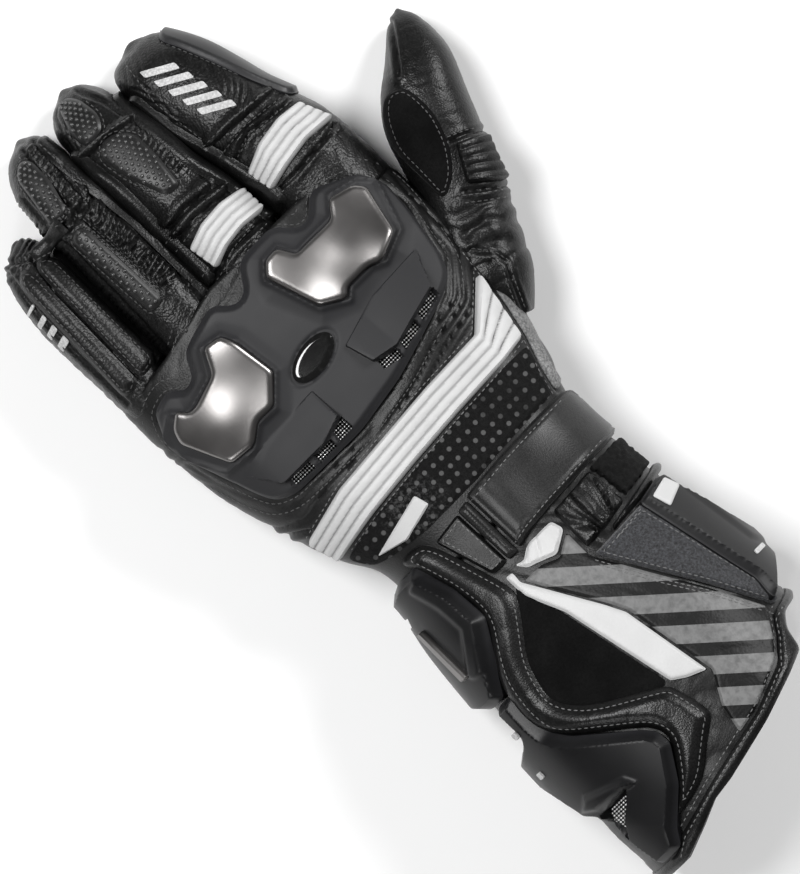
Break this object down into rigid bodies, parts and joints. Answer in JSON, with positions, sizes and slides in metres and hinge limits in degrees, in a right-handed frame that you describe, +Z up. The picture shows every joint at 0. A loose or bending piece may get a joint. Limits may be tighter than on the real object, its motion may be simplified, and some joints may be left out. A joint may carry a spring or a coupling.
{
  "type": "left-hand racing glove with gauntlet cuff",
  "caption": "Left-hand motorcycle racing glove in black and white leather, with moulded knuckle and wrist guards, metal knuckle plates, studded finger pads and a gauntlet cuff.",
  "frame": {"origin": "on the flat palm side under the wrist, level with what the glove lies on", "axes": "+Y along the hand towards the fingertips, +X towards the thumb, +Z up out of the back of the hand"},
  "size_m": [0.1513, 0.3, 0.0781],
  "materials": {
    "leather": "grained, satin",
    "suede": "napped, matt",
    "white_leather": "smooth, satin",
    "moulded_black": "matt moulded",
    "satin_metal": "satin",
    "gloss_black": "gloss",
    "silver_mesh": "woven",
    "velour": "looped pile",
    "grey_print": "printed, satin"
  },
  "bodies": {
    "root": {"back_stretch_panel": "white_leather", "cuff_binding": "leather", "cuff_shell": "leather", "cuff_stripe": "white_leather", "finger_bridge": "leather", "flap_edge": "leather", "flap_guard": "moulded_black", "flap_label": "white_leather", "flap_velour": "velour", "gathered_panel": "leather", "guard_insert": "satin_metal", "guard_mesh": "silver_mesh", "guard_surround": "leather", "hand_shell": "leather", "hook_patch": "velour", "index_finger": "leather", "index_slider": "moulded_black", "index_stretch_panel": "white_leather", "knuckle_guard": "moulded_black", "knuckle_plate_index": "satin_metal", "knuckle_plate_ring": "satin_metal", "little_finger": "leather", "little_pad": "leather", "little_side_pad": "leather", "middle_finger": "leather", "middle_pad": "moulded_black", "middle_stretch_panel": "white_leather", "middle_tip_pad": "moulded_black", "oval_badge": "gloss_black", "perforated_panel": "suede", "printed_panel": "grey_print", "ring_finger": "leather", "ring_pad": "moulded_black", "ring_tip_pad": "moulded_black", "side_label": "white_leather", "side_piping": "grey_print", "strap_anchor": "leather", "strap_keeper": "leather", "strap_tab": "white_leather", "thumb": "leather", "thumb_patch": "suede", "thumb_stretch_panel": "leather", "vent_mesh_index": "silver_mesh", "vent_mesh_ring": "silver_mesh", "wrist_guard_lower": "moulded_black", "wrist_guard_upper": "moulded_black", "wrist_strap": "leather"}
  },
  "joints": []
}
